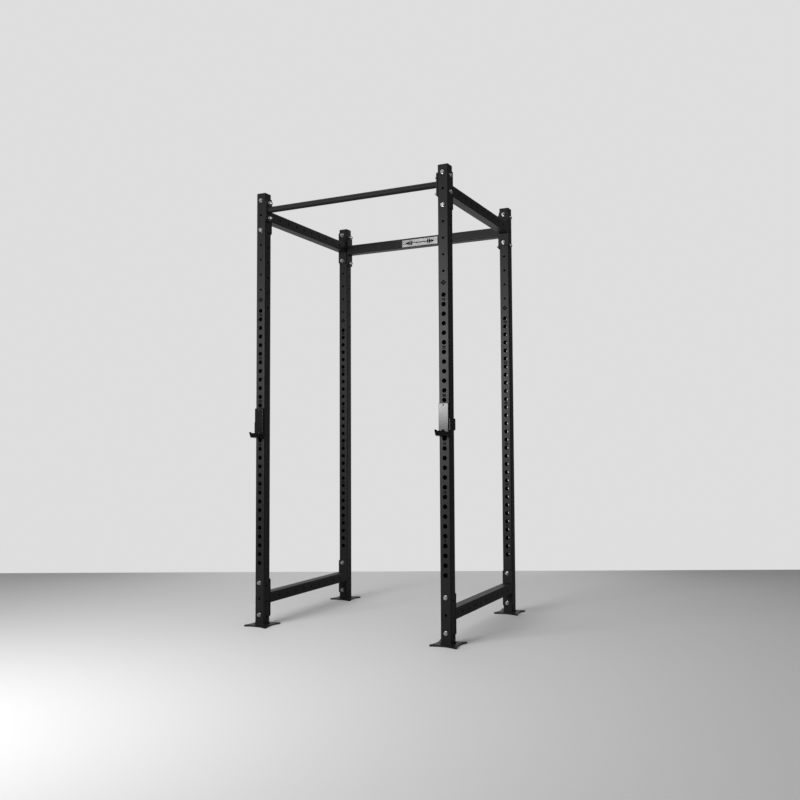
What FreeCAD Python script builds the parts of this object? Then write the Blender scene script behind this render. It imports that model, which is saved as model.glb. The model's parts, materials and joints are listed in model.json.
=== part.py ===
"""Power cage: four numbered uprights, bolted beams, a pull-up bar and a pair of J-hooks.

Millimetres. X runs to the right, Y to the back and Z up. The origin is on the floor,
midway between the four uprights. All sizes are in the spreadsheet named sizes.
"""
import FreeCAD, Part
import math
import os
import Sketcher

SIZES = [
    ("frame_width", 1156.0, "upright centre to upright centre, left to right"),
    ("frame_depth", 951.0, "upright centre to upright centre, front to back"),
    ("post_length", 2486.0, "upright tube, from its foot plate to its cap"),
    ("post_width", 60.0, "outside of the square upright tube"),
    ("post_wall", 3.0, "wall of the upright tube"),
    ("post_corner", 6.0, "outer corner radius of the upright tube"),
    ("pin_hole", 25.0, "diameter of the numbered pin holes"),
    ("pin_pitch", 50.0, "spacing of the numbered pin holes"),
    ("pin_count", 30, "number of pin holes in an upright"),
    ("first_pin_height", 348.0, "lowest pin hole above the foot plate"),
    ("bolt_hole", 13.5, "clearance hole for the frame bolts"),
    ("bolt_pitch", 87.5, "spacing of the bolt holes"),
    ("front_row_drop", 38.5, "highest front bolt hole below the end of the tube"),
    ("front_row_count", 7, "front bolt holes at the top of an upright"),
    ("side_row_drop", 54.5, "highest side bolt hole below the end of the tube"),
    ("side_row_count", 8, "side bolt holes at the top of an upright"),
    ("front_foot_row", 55.5, "lowest front bolt hole above the foot plate"),
    ("side_foot_row", 42.5, "lowest side bolt hole above the foot plate"),
    ("foot_pitch", 90.0, "spacing of the front bolt holes at the foot"),
    ("foot_row_count", 3, "bolt holes in each row at the foot of an upright"),
    ("foot_size", 150.0, "side of the foot plate"),
    ("foot_thickness", 8.0, "thickness of the foot plate"),
    ("foot_corner", 5.0, "corner radius of the foot plate"),
    ("scallop_radius", 150.0, "radius of the hollow in each side of the foot plate"),
    ("scallop_depth", 14.0, "depth of that hollow"),
    ("anchor_hole", 12.0, "floor anchor hole in the foot plate"),
    ("anchor_spacing", 112.0, "spacing of the anchor holes"),
    ("cap_thickness", 4.0, "visible thickness of the upright's end cap"),
    ("cap_chamfer", 1.5, "chamfer round the top of the end cap"),
    ("cap_plug_depth", 15.0, "depth of the cap's plug inside the tube"),
    ("cap_clearance", 0.2, "gap between the plug and the tube"),
    ("cap_wall", 2.5, "wall of the hollow plug"),
    ("beam_width", 60.0, "outside of the square beam tube"),
    ("beam_wall", 3.0, "wall of the beam tube"),
    ("beam_corner", 6.0, "outer corner radius of the beam tube"),
    ("beam_hole", 13.5, "holes through the sides of the side beams"),
    ("beam_hole_count", 9, "number of those holes"),
    ("flange_width", 60.0, "width of the welded end plates"),
    ("flange_thickness", 8.0, "thickness of the welded end plates"),
    ("flange_margin", 20.0, "end plate beyond its bolt holes"),
    ("flange_chamfer", 8.0, "corner cut of the end plates"),
    ("pull_bar_diameter", 35.0, "outside of the pull-up bar"),
    ("pull_bar_rise", 5.0, "pull-up bar above the middle of its end plates"),
    ("pull_bar_wall", 3.2, "wall of the pull-up bar"),
    ("bolt_diameter", 12.0, "frame bolts"),
    ("bolt_length", 90.0, "frame bolts under the head"),
    ("bolt_head_height", 7.5, "hexagon head"),
    ("hexagon_flats", 19.0, "hexagon across the flats, head and nut"),
    ("nut_height", 10.0, "hexagon nut"),
    ("washer_diameter", 24.0, "outside of the washers"),
    ("washer_bore", 13.0, "bore of the washers"),
    ("washer_thickness", 2.5, "thickness of the washers"),
    ("plate_width", 254.0, "name plate on the rear beam"),
    ("plate_height", 45.0, "name plate"),
    ("plate_thickness", 2.0, "name plate"),
    ("plate_corner", 3.0, "corner radius of the name plate"),
    ("plate_drop", 4.5, "name plate's centre below the beam's centre"),
    ("rivet_diameter", 4.0, "shank of the name plate's rivets"),
    ("rivet_head", 8.0, "diameter of the rivets' domed heads"),
    ("rivet_inset", 9.0, "rivets in from the ends of the name plate"),
    ("hook_pin_number", 18, "numbered hole that holds the J-hooks"),
    ("hook_width", 54.0, "width of the J-hook"),
    ("hook_steel", 5.0, "thickness of the J-hook's bent plate"),
    ("hook_gap", 0.5, "gap between the J-hook and the upright"),
    ("hook_top", 33.0, "top of the J-hook above its pin"),
    ("hook_shelf_drop", 134.0, "shelf's inner corner below the pin"),
    ("hook_shelf_length", 46.0, "shelf from the plate to the lip, level distance"),
    ("hook_shelf_angle", 5.0, "shelf's rise towards the lip, degrees"),
    ("hook_lip_length", 30.0, "lip along its slope"),
    ("hook_lip_angle", 26.5, "lip's lean outwards from upright, degrees"),
    ("hook_bend", 1.5, "inner radius of the bends in the J-hook's plate"),
    ("hook_corner", 3.0, "outer radius of those bends"),
    ("lip_dip_width", 24.0, "bottom of the dip in the lip's top edge"),
    ("lip_dip_depth", 6.0, "depth of that dip"),
    ("hook_pin_diameter", 24.0, "pin behind the J-hook"),
    ("hook_pin_length", 70.0, "pin from the back of the J-hook's plate"),
    ("hook_pin_chamfer", 3.0, "lead-in at the end of the pin"),
    ("guard_drop", 45.0, "top of the side guard below the pin"),
    ("guard_height", 62.0, "height of the side guard"),
    ("guard_gap", 1.6, "side guard's plate off the upright's side"),
    ("guard_corner", 9.0, "rounded rear corners of the side guard"),
    ("guard_pad", 1.2, "pad inside the side guard"),
    ("guard_pad_margin", 3.0, "pad in from the edges of the side guard"),
    ("liner_thickness", 8.5, "plastic liner on the J-hook's plate"),
    ("liner_drop", 118.0, "bottom of that liner below the pin"),
    ("liner_edge", 1.5, "rounded edge of the liner"),
    ("shelf_liner", 6.0, "plastic liner on the shelf and lip"),
    ("shelf_liner_short", 12.0, "lip left bare above the liner"),
    ("screw_diameter", 5.0, "liner screws"),
    ("screw_head", 10.0, "head of the liner screws"),
    ("screw_head_height", 3.0, "head of the liner screws"),
    ("screw_socket", 3.5, "hexagon socket of the liner screws"),
    ("screw_inset", 9.0, "upper and lower screw in from the liner's ends"),
]

doc = FreeCAD.newDocument("power_cage")
sheet = doc.addObject("Spreadsheet::Sheet", "sizes")
sub_parts = []


def fill_sheet():
    """Write every size as text with its note, and name its cell."""
    for row, (alias, size, note) in enumerate(SIZES, start=1):
        sheet.set(f"A{row}", note)
        sheet.set(f"B{row}", str(size))
        sheet.setAlias(f"B{row}", alias)
    doc.recompute()


def named(text):
    """Turn size names in an expression into references to the spreadsheet."""
    for alias in sorted((row[0] for row in SIZES), key=len, reverse=True):
        text = text.replace(f"<{alias}>", f"sizes.{alias}")
    return text


def number(text):
    """Value of an expression, as a plain number."""
    result = sheet.evalExpression(named(text))
    return float(getattr(result, "Value", result))


def place(item, x="0", y="0", z="0"):
    """Bind the position of an object to expressions."""
    for axis, text in (("x", x), ("y", y), ("z", z)):
        item.setExpression(f"Placement.Base.{axis}", named(text))


def keep(item, label):
    """Register an object as a finished sub-part."""
    item.Label = label
    sub_parts.append(item)
    return item


# ---------------------------------------------------------------- sketches and features

def new_body(label):
    body = doc.addObject("PartDesign::Body", label)
    return keep(body, label)


def origin_item(body, role):
    return next(item for item in body.Origin.OriginFeatures if item.Role == role)


def new_sketch(body, role, offset="0"):
    """Sketch on one of the body's own origin planes, moved along the plane's normal."""
    sketch = body.newObject("Sketcher::SketchObject", f"{body.Name}_sketch")
    sketch.AttachmentSupport = [(origin_item(body, role), "")]
    sketch.MapMode = "FlatFace"
    sketch.setExpression("AttachmentOffset.Base.z", named(offset))
    return sketch


def constrain(sketch, kind, *places, size=None):
    """Add a constraint, bound to an expression when it has a size."""
    if size is None:
        return sketch.addConstraint(Sketcher.Constraint(kind, *places))
    index = sketch.addConstraint(Sketcher.Constraint(kind, *places, number(size)))
    sketch.setExpression(f"Constraints[{index}]", named(size))
    return index


def fix_point(sketch, geometry, point, x, y):
    """Hold a point at expressions for its sketch coordinates."""
    for kind, text, axis in (("DistanceX", x, -2), ("DistanceY", y, -1)):
        if text == "0":
            constrain(sketch, "PointOnObject", geometry, point, axis)
        else:
            constrain(sketch, kind, -1, 1, geometry, point, size=text)


def draw_circle(sketch, diameter, x="0", y="0"):
    centre = FreeCAD.Vector(number(x), number(y), 0)
    circle = Part.Circle(centre, FreeCAD.Vector(0, 0, 1), number(diameter) / 2)
    index = sketch.addGeometry(circle, False)
    fix_point(sketch, index, 3, x, y)
    constrain(sketch, "Diameter", index, size=diameter)


def draw_outline(sketch, points):
    """Closed outline of straight lines through points given as pairs of expressions."""
    corners = [FreeCAD.Vector(number(x), number(y), 0) for x, y in points]
    count = len(corners)
    first = sketch.GeometryCount
    for index in range(count):
        line = Part.LineSegment(corners[index], corners[(index + 1) % count])
        sketch.addGeometry(line, False)
    for index, (x, y) in enumerate(points):
        previous = first + (index - 1) % count
        constrain(sketch, "Coincident", previous, 2, first + index, 1)
        fix_point(sketch, first + index, 1, x, y)


def draw_rounded_rectangle(sketch, width, height, radius):
    """Rectangle with round corners, centred on the sketch's origin."""
    x = number(width) / 2
    y = number(height) / 2
    r = number(radius)
    first = sketch.GeometryCount
    sides = [
        ((r - x, -y), (x - r, -y), (x - r, r - y)),
        ((x, r - y), (x, y - r), (x - r, y - r)),
        ((x - r, y), (r - x, y), (r - x, y - r)),
        ((-x, y - r), (-x, r - y), (r - x, r - y)),
    ]
    for side, (start, end, centre) in enumerate(sides):
        line = Part.LineSegment(FreeCAD.Vector(*start, 0), FreeCAD.Vector(*end, 0))
        sketch.addGeometry(line, False)
        circle = Part.Circle(FreeCAD.Vector(*centre, 0), FreeCAD.Vector(0, 0, 1), r)
        turn = (side - 1) * math.pi / 2
        sketch.addGeometry(Part.ArcOfCircle(circle, turn, turn + math.pi / 2), False)
    for side in range(4):
        line = first + 2 * side
        constrain(sketch, "Tangent", line, 2, line + 1, 1)
        constrain(sketch, "Tangent", line + 1, 2, first + (2 * side + 2) % 8, 1)
    for arc in (3, 5, 7):
        constrain(sketch, "Equal", first + 1, first + arc)
    constrain(sketch, "Horizontal", first + 4)
    constrain(sketch, "Vertical", first + 6)
    constrain(sketch, "Radius", first + 1, size=radius)
    constrain(sketch, "Symmetric", first, 1, first, 2, -2)
    constrain(sketch, "Symmetric", first + 2, 1, first + 2, 2, -1)
    constrain(sketch, "DistanceX", first + 6, 1, first + 2, 1, size=width)
    constrain(sketch, "DistanceY", first, 1, first + 4, 1, size=height)


def pad(body, sketch, length, both_ways=False, backwards=False):
    feature = body.newObject("PartDesign::Pad", f"{body.Name}_pad")
    feature.Profile = sketch
    feature.SideType = "Symmetric" if both_ways else "One side"
    feature.Reversed = backwards
    feature.setExpression("Length", named(length))
    doc.recompute()
    return feature


def pocket(body, sketch, length=None, backwards=False):
    """Cut through everything both ways, or to a depth on one side of the sketch."""
    before = body.Shape.Volume
    feature = body.newObject("PartDesign::Pocket", f"{body.Name}_pocket")
    feature.Profile = sketch
    if length is None:
        feature.Type = "ThroughAll"
        feature.SideType = "Symmetric"
    else:
        feature.Reversed = backwards
        feature.setExpression("Length", named(length))
    doc.recompute()
    if feature.Shape.Volume > before - 1e-3:
        raise RuntimeError(f"{feature.Label} cuts nothing")
    return feature


def repeat_line(body, feature, axis, length, count):
    pattern = body.newObject("PartDesign::LinearPattern", f"{body.Name}_row")
    pattern.Originals = [feature]
    pattern.Direction = (origin_item(body, axis), [""])
    pattern.setExpression("Length", named(length))
    pattern.setExpression("Occurrences", named(count))
    body.Tip = pattern
    doc.recompute()
    return pattern


def repeat_round(body, feature, count):
    pattern = body.newObject("PartDesign::PolarPattern", f"{body.Name}_ring")
    pattern.Originals = [feature]
    pattern.Axis = (origin_item(body, "Z_Axis"), [""])
    pattern.Angle = 360
    pattern.Occurrences = count
    body.Tip = pattern
    doc.recompute()
    return pattern


def dress(body, kind, size, wanted):
    """Fillet or chamfer the edges of the body's tip whose middle point is wanted."""
    tip = body.Tip
    names = []
    for index, edge in enumerate(tip.Shape.Edges, start=1):
        middle = edge.valueAt((edge.FirstParameter + edge.LastParameter) / 2)
        if wanted(middle, edge):
            names.append(f"Edge{index}")
    feature = body.newObject(f"PartDesign::{kind}", f"{body.Name}_{kind.lower()}")
    feature.Base = (tip, names)
    feature.setExpression("Size" if kind == "Chamfer" else "Radius", named(size))
    doc.recompute()
    return feature


def near(first, second):
    return abs(first - second) < 0.01


# ---------------------------------------------------------------- uprights, feet and caps

def draw_tube(sketch, width, wall, corner):
    draw_rounded_rectangle(sketch, width, width, corner)
    inner = f"{width} - 2 * {wall}"
    draw_rounded_rectangle(sketch, inner, inner, f"{corner} - {wall}")


def hole_row(body, role, diameter, first_height, pitch, count):
    """Row of holes up an upright, through both of its walls."""
    sketch = new_sketch(body, role)
    draw_circle(sketch, diameter, "0", first_height)
    repeat_line(body, pocket(body, sketch), "Z_Axis", f"{pitch} * ({count} - 1)", count)


def make_upright(label, x, y):
    body = new_body(label)
    sketch = new_sketch(body, "XY_Plane")
    draw_tube(sketch, "<post_width>", "<post_wall>", "<post_corner>")
    pad(body, sketch, "<post_length>")
    top_row = "<post_length> - {} - <bolt_pitch> * ({} - 1)"
    rows = [
        ("XZ_Plane", "<pin_hole>", "<first_pin_height>", "<pin_pitch>", "<pin_count>"),
        ("XZ_Plane", "<bolt_hole>", top_row.format("<front_row_drop>", "<front_row_count>"),
         "<bolt_pitch>", "<front_row_count>"),
        ("YZ_Plane", "<bolt_hole>", top_row.format("<side_row_drop>", "<side_row_count>"),
         "<bolt_pitch>", "<side_row_count>"),
        ("XZ_Plane", "<bolt_hole>", "<front_foot_row>", "<foot_pitch>", "<foot_row_count>"),
        ("YZ_Plane", "<bolt_hole>", "<side_foot_row>", "<bolt_pitch>", "<foot_row_count>"),
    ]
    for row in rows:
        hole_row(body, *row)
    place(body, x, y, "<foot_thickness>")


def make_foot_plate(label, x, y):
    body = new_body(label)
    outline = new_sketch(body, "XY_Plane")
    draw_rounded_rectangle(outline, "<foot_size>", "<foot_size>", "<foot_corner>")
    pad(body, outline, "<foot_thickness>")
    scallop = new_sketch(body, "XY_Plane")
    centre = "<foot_size> / 2 - <scallop_depth> + <scallop_radius>"
    draw_circle(scallop, "2 * <scallop_radius>", "0", centre)
    repeat_round(body, pocket(body, scallop), 4)
    anchor = new_sketch(body, "XY_Plane")
    draw_circle(anchor, "<anchor_hole>", "<anchor_spacing> / 2", "<anchor_spacing> / 2")
    repeat_round(body, pocket(body, anchor), 4)
    place(body, x, y)


def make_end_cap(label, x, y):
    body = new_body(label)
    lid = new_sketch(body, "XY_Plane")
    draw_rounded_rectangle(lid, "<post_width>", "<post_width>", "<post_corner>")
    pad(body, lid, "<cap_thickness>")
    top = number("<cap_thickness>")
    dress(body, "Chamfer", "<cap_chamfer>", lambda middle, edge: near(middle.z, top))
    plug = new_sketch(body, "XY_Plane")
    outer = "<post_width> - 2 * <post_wall> - 2 * <cap_clearance>"
    corner = "<post_corner> - <post_wall>"
    draw_rounded_rectangle(plug, outer, outer, corner)
    inner = f"{outer} - 2 * <cap_wall>"
    draw_rounded_rectangle(plug, inner, inner, f"({corner}) / 2")
    pad(body, plug, "<cap_plug_depth>", backwards=True)
    place(body, x, y, "<foot_thickness> + <post_length>")


# ---------------------------------------------------------------- beams and end plates

FRONT_TOP = "(<foot_thickness> + <post_length> - <front_row_drop>)"
SIDE_TOP = "(<foot_thickness> + <post_length> - <side_row_drop>)"
FRONT_FOOT = "(<foot_thickness> + <front_foot_row>)"
TOP_BEAM = f"({FRONT_TOP} - <bolt_pitch>)"
FOOT_BEAM = f"({FRONT_FOOT} + <foot_pitch>)"
REAR_BEAM = f"({SIDE_TOP} - <bolt_pitch>)"
PULL_BAR = f"({SIDE_TOP} - <bolt_pitch> / 2)"
HALF_WIDTH = "<frame_width> / 2"
HALF_DEPTH = "<frame_depth> / 2"


def make_side_beam(label, x, z):
    """Square tube between two end plates, with a row of holes through its sides."""
    body = new_body(label)
    section = new_sketch(body, "XZ_Plane")
    draw_tube(section, "<beam_width>", "<beam_wall>", "<beam_corner>")
    pad(body, section, "<frame_depth> - <post_width> - 2 * <flange_thickness>", both_ways=True)
    hole = new_sketch(body, "YZ_Plane")
    draw_circle(hole, "<beam_hole>", "-<bolt_pitch> * (<beam_hole_count> - 1) / 2")
    span = "<bolt_pitch> * (<beam_hole_count> - 1)"
    repeat_line(body, pocket(body, hole), "Y_Axis", span, "<beam_hole_count>")
    place(body, x, "0", z)


def rivet_places():
    """Rivet positions across the rear beam, both at the name plate's mid-height."""
    across = "(<plate_width> / 2 - <rivet_inset>)"
    return f"-{across}", across


def make_rear_beam():
    body = new_body("rear_top_beam")
    section = new_sketch(body, "YZ_Plane")
    draw_tube(section, "<beam_width>", "<beam_wall>", "<beam_corner>")
    pad(body, section, "<frame_width> - <post_width> - 2 * <flange_thickness>", both_ways=True)
    under = new_sketch(body, "XY_Plane")
    for side in ("-", ""):
        draw_circle(under, "<beam_hole>", f"{side}({HALF_WIDTH} - 2 * <bolt_pitch>)")
    pocket(body, under, "<beam_width>")
    rivets = new_sketch(body, "XZ_Plane")
    for x in rivet_places():
        draw_circle(rivets, "<rivet_diameter>", x, "-<plate_drop>")
    pocket(body, rivets, "<beam_width>", backwards=True)
    place(body, "0", HALF_DEPTH, REAR_BEAM)


def make_pull_bar():
    body = new_body("pull_up_bar")
    section = new_sketch(body, "YZ_Plane")
    draw_circle(section, "<pull_bar_diameter>")
    draw_circle(section, "<pull_bar_diameter> - 2 * <pull_bar_wall>")
    pad(body, section, "<frame_width> - <post_width> - 2 * <flange_thickness>", both_ways=True)
    place(body, "0", f"-{HALF_DEPTH}", f"{PULL_BAR} + <pull_bar_rise>")


def make_flange(label, role, spacing, x, y, z):
    """End plate with cut corners and two bolt holes, one above the other."""
    body = new_body(label)
    half = "<flange_width> / 2"
    cut_half = "(<flange_width> / 2 - <flange_chamfer>)"
    end = f"(({spacing}) / 2 + <flange_margin>)"
    cut_end = f"({end} - <flange_chamfer>)"
    outline = new_sketch(body, role)
    draw_outline(outline, [
        (half, f"-{cut_end}"), (half, cut_end), (cut_half, end), (f"-{cut_half}", end),
        (f"-{half}", cut_end), (f"-{half}", f"-{cut_end}"),
        (f"-{cut_half}", f"-{end}"), (cut_half, f"-{end}"),
    ])
    pad(body, outline, "<flange_thickness>", both_ways=True)
    holes = new_sketch(body, role)
    for level in ("-", ""):
        draw_circle(holes, "<bolt_hole>", "0", f"{level}({spacing}) / 2")
    pocket(body, holes)
    place(body, x, y, z)


def make_beams():
    """Side beams, rear beam and pull-up bar, each with its welded end plates."""
    to_flange = "(<post_width> + <flange_thickness>) / 2"
    for side, sign in (("left", "-"), ("right", "")):
        for level, height, pitch in (("top", TOP_BEAM, "<bolt_pitch>"),
                                     ("bottom", FOOT_BEAM, "<foot_pitch>")):
            name = f"{side}_{level}_beam"
            make_side_beam(name, f"{sign}{HALF_WIDTH}", height)
            for end, end_sign in (("front", "-"), ("rear", "")):
                make_flange(f"{name}_{end}_flange", "XZ_Plane", f"2 * {pitch}",
                            f"{sign}{HALF_WIDTH}",
                            f"{end_sign}({HALF_DEPTH} - {to_flange})", height)
        inward = f"{sign}({HALF_WIDTH} - {to_flange})"
        make_flange(f"rear_top_beam_{side}_flange", "YZ_Plane", "2 * <bolt_pitch>",
                    inward, HALF_DEPTH, REAR_BEAM)
        make_flange(f"pull_up_bar_{side}_flange", "YZ_Plane", "<bolt_pitch>",
                    inward, f"-{HALF_DEPTH}", PULL_BAR)
    make_rear_beam()
    make_pull_bar()


# ---------------------------------------------------------------- fasteners

def primitive(kind, label, **sizes):
    """Part primitive whose properties are bound to expressions."""
    item = doc.addObject(f"Part::{kind}", label)
    for name, text in sizes.items():
        item.setExpression(name, named(text))
    return item


def combine(kind, label, base, tool):
    item = doc.addObject(f"Part::{kind}", label)
    item.Base = base
    item.Tool = tool
    return item


def hexagon(label, height, z="0"):
    """Hexagon with its corners turned off at both ends by a sphere."""
    prism = primitive("Prism", f"{label}_prism", Circumradius="<hexagon_flats> / sqrt(3)",
                      Height=height)
    prism.Polygon = 6
    place(prism, z=z)
    ball = primitive("Sphere", f"{label}_ball",
                     Radius=f"sqrt((0.485 * <hexagon_flats>) ^ 2 + ({height}) ^ 2 / 4)")
    place(ball, z=f"{z} + ({height}) / 2")
    body = combine("Common", label, prism, ball)
    return body


def master_bolt():
    """Hexagon bolt along Z, with the underside of its head at zero."""
    head = hexagon("bolt_head", "<bolt_head_height>", "-<bolt_head_height>")
    shank = primitive("Cylinder", "bolt_shank", Radius="<bolt_diameter> / 2",
                      Height="<bolt_length>")
    return combine("Fuse", "bolt", head, shank)


def master_nut():
    body = hexagon("nut_body", "<nut_height>")
    bore = primitive("Cylinder", "nut_bore", Radius="<bolt_diameter> / 2",
                     Height="<nut_height>")
    return combine("Cut", "nut", body, bore)


def master_washer():
    disc = primitive("Cylinder", "washer_disc", Radius="<washer_diameter> / 2",
                     Height="<washer_thickness>")
    bore = primitive("Cylinder", "washer_hole", Radius="<washer_bore> / 2",
                     Height="<washer_thickness>")
    return combine("Cut", "washer", disc, bore)


def master_rivet():
    """Domed rivet along Z, with the underside of its head at zero."""
    dome = primitive("Sphere", "rivet_dome", Radius="<rivet_head> / sqrt(3)")
    dome.Angle1 = 30
    place(dome, z="-<rivet_head> / sqrt(3) / 2")
    shank = primitive("Cylinder", "rivet_shank", Radius="<rivet_diameter> / 2",
                      Height="<plate_thickness> + <beam_wall>")
    place(shank, z="-<plate_thickness> - <beam_wall>")
    return combine("Fuse", "rivet", dome, shank)


def master_screw():
    """Socket screw along Z, with the underside of its head at zero."""
    head = primitive("Cylinder", "screw_top", Radius="<screw_head> / 2",
                     Height="<screw_head_height>")
    shank = primitive("Cylinder", "screw_shank", Radius="<screw_diameter> / 2",
                      Height="<liner_thickness> - <screw_head_height> + <hook_steel>")
    place(shank, z="-(<liner_thickness> - <screw_head_height> + <hook_steel>)")
    whole = combine("Fuse", "screw_blank", head, shank)
    socket = primitive("Prism", "screw_recess", Circumradius="<screw_socket> / sqrt(3)",
                       Height="<screw_head_height>")
    socket.Polygon = 6
    place(socket, z="<screw_head_height> / 3")
    return combine("Cut", "screw", whole, socket)


DIRECTIONS = {
    "+X": FreeCAD.Rotation(FreeCAD.Vector(0, 1, 0), 90),
    "-X": FreeCAD.Rotation(FreeCAD.Vector(0, 1, 0), -90),
    "+Y": FreeCAD.Rotation(FreeCAD.Vector(1, 0, 0), -90),
    "-Y": FreeCAD.Rotation(FreeCAD.Vector(1, 0, 0), 90),
}


def make_group(label, master, places):
    """One sub-part of separate copies of a master, each turned and placed."""
    copies = []
    for direction, x, y, z in places:
        copy = doc.addObject("App::Link", f"{label}_copy")
        copy.LinkedObject = master
        copy.Placement = FreeCAD.Placement(FreeCAD.Vector(), DIRECTIONS[direction])
        place(copy, x, y, z)
        copies.append(copy)
    group = doc.addObject("Part::Compound", label)
    group.Links = copies
    return keep(group, label)


def through_post(inner_sign, centre, head_depth):
    """Coordinate along a bolt: measured from the post's outer face towards the frame's middle."""
    return f"{inner_sign}({centre} + <post_width> / 2 - ({head_depth}))"


def make_fasteners():
    """Bolts with their heads outside the frame and their nuts behind the end plates."""
    bolt = master_bolt()
    nut = master_nut()
    washer = master_washer()
    joint = "<post_width> + <flange_thickness>"
    depths = {
        "bolts": (bolt, ["-<washer_thickness>"]),
        "washers": (washer, ["-<washer_thickness>", joint]),
        "nuts": (nut, [f"{joint} + <washer_thickness>"]),
    }
    along_y = []
    for sign in ("-", ""):
        for middle, pitch in ((FOOT_BEAM, "<foot_pitch>"), (TOP_BEAM, "<bolt_pitch>")):
            for end in ("-", "+"):
                along_y.append((f"{sign}{HALF_WIDTH}", f"{middle} {end} {pitch}"))
    joints = {
        "side_beam": ("Y", HALF_DEPTH, ("-", ""), along_y),
        "rear_beam": ("X", HALF_WIDTH, ("-", ""),
                      [(HALF_DEPTH, SIDE_TOP), (HALF_DEPTH, f"{SIDE_TOP} - 2 * <bolt_pitch>")]),
        "pull_up_bar": ("X", HALF_WIDTH, ("-", ""),
                        [(f"-{HALF_DEPTH}", SIDE_TOP),
                         (f"-{HALF_DEPTH}", f"{SIDE_TOP} - <bolt_pitch>")]),
    }
    for joint_name, (axis, centre, ends, spots) in joints.items():
        for kind, (master, kind_depths) in depths.items():
            places = []
            for end in ends:
                direction = ("+" if end == "-" else "-") + axis
                for depth in kind_depths:
                    along = through_post(end, centre, depth)
                    for other, z in spots:
                        spot = (other, along) if axis == "Y" else (along, other)
                        places.append((direction, *spot, z))
            make_group(f"{joint_name}_{kind}", master, places)


def make_name_plate():
    """Blank metal plate on the front of the rear beam, with two rivets."""
    body = new_body("name_plate")
    outline = new_sketch(body, "XZ_Plane")
    draw_rounded_rectangle(outline, "<plate_width>", "<plate_height>", "<plate_corner>")
    pad(body, outline, "<plate_thickness>")
    holes = new_sketch(body, "XZ_Plane")
    face = f"{HALF_DEPTH} - <beam_width> / 2"
    for x in rivet_places():
        draw_circle(holes, "<rivet_diameter>", x)
    pocket(body, holes)
    place(body, "0", face, f"{REAR_BEAM} - <plate_drop>")
    heads = [("-Y", x, f"{face} - <plate_thickness>", f"{REAR_BEAM} - <plate_drop>")
             for x in rivet_places()]
    make_group("name_plate_rivets", master_rivet(), heads)


# ---------------------------------------------------------------- J-hooks

SLOPE = "(<hook_shelf_angle> * 1 deg)"
LEAN = "(<hook_lip_angle> * 1 deg)"
PLATE_BACK = "(<post_width> / 2 + <hook_gap>)"
PLATE_FRONT = f"({PLATE_BACK} + <hook_steel>)"
HOOK_HEIGHT = "(<foot_thickness> + <first_pin_height> + <pin_pitch> * (<hook_pin_number> - 1))"


def shelf_path(offset):
    """Shelf corner and lip end, moved into the hook by offset from the steel's inner face.

    Each point is (distance in front of the upright's axis, height above the pin).
    """
    turn = f"((90 deg - {SLOPE} - {LEAN}) / 2)"
    corner = (
        f"({PLATE_FRONT} + <hook_shelf_length> - {offset} * sin({SLOPE})"
        f" - {offset} * tan({turn}) * cos({SLOPE}))",
        f"(-<hook_shelf_drop> + <hook_shelf_length> * tan({SLOPE}) + {offset} * cos({SLOPE})"
        f" - {offset} * tan({turn}) * sin({SLOPE}))",
    )
    root = (
        f"({PLATE_FRONT} + <hook_shelf_length>)",
        f"(-<hook_shelf_drop> + <hook_shelf_length> * tan({SLOPE}))",
    )
    return corner, root


def lip_point(root, length, offset):
    """Point on the lip at a length from its root, moved into the hook by offset."""
    out, up = root
    return (f"({out} + ({length}) * sin({LEAN}) - {offset} * cos({LEAN}))",
            f"({up} + ({length}) * cos({LEAN}) + {offset} * sin({LEAN}))")


def forward(points):
    """Sketch points on the YZ plane: distances in front of the upright run towards -Y."""
    return [(f"-{out}", up) for out, up in points]


def make_bracket(name, sign):
    """Bent plate: back plate, sloping shelf, dipped lip and the guard round the upright."""
    body = new_body(f"{name}_bracket")
    outer_corner, root = shelf_path("(-<hook_steel>)")
    heel = (f"(-<hook_shelf_drop> - <hook_steel> * tan({SLOPE})"
            f" - <hook_steel> / cos({SLOPE}))")
    profile = new_sketch(body, "YZ_Plane")
    draw_outline(profile, forward([
        (PLATE_BACK, "<hook_top>"),
        (PLATE_BACK, heel),
        outer_corner,
        lip_point(root, "<hook_lip_length>", "(-<hook_steel>)"),
        lip_point(root, "<hook_lip_length>", "0"),
        root,
        (PLATE_FRONT, "-<hook_shelf_drop>"),
        (PLATE_FRONT, "<hook_top>"),
    ]))
    pad(body, profile, "<hook_width>", both_ways=True)
    bend_edges(body, root, heel, outer_corner)
    add_guard(body, sign)
    cut_dip(body)
    holes = new_sketch(body, "XZ_Plane")
    for level in screw_levels():
        draw_circle(holes, "<screw_diameter>", "0", level)
    pocket(body, holes, PLATE_FRONT, backwards=True)
    place(body, f"{sign}{HALF_WIDTH}", f"-{HALF_DEPTH}", HOOK_HEIGHT)


def bend_edges(body, root, heel, outer_corner):
    """Round the inner and outer sides of both bends."""
    inner = [(number(PLATE_FRONT), -number("<hook_shelf_drop>")), tuple(map(number, root))]
    outer = [(number(PLATE_BACK), number(heel)), tuple(map(number, outer_corner))]
    for size, corners in (("<hook_bend>", inner), ("<hook_corner>", outer)):
        dress(body, "Fillet", size, lambda middle, edge, corners=corners: any(
            near(-middle.y, out) and near(middle.z, up) for out, up in corners))


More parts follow.
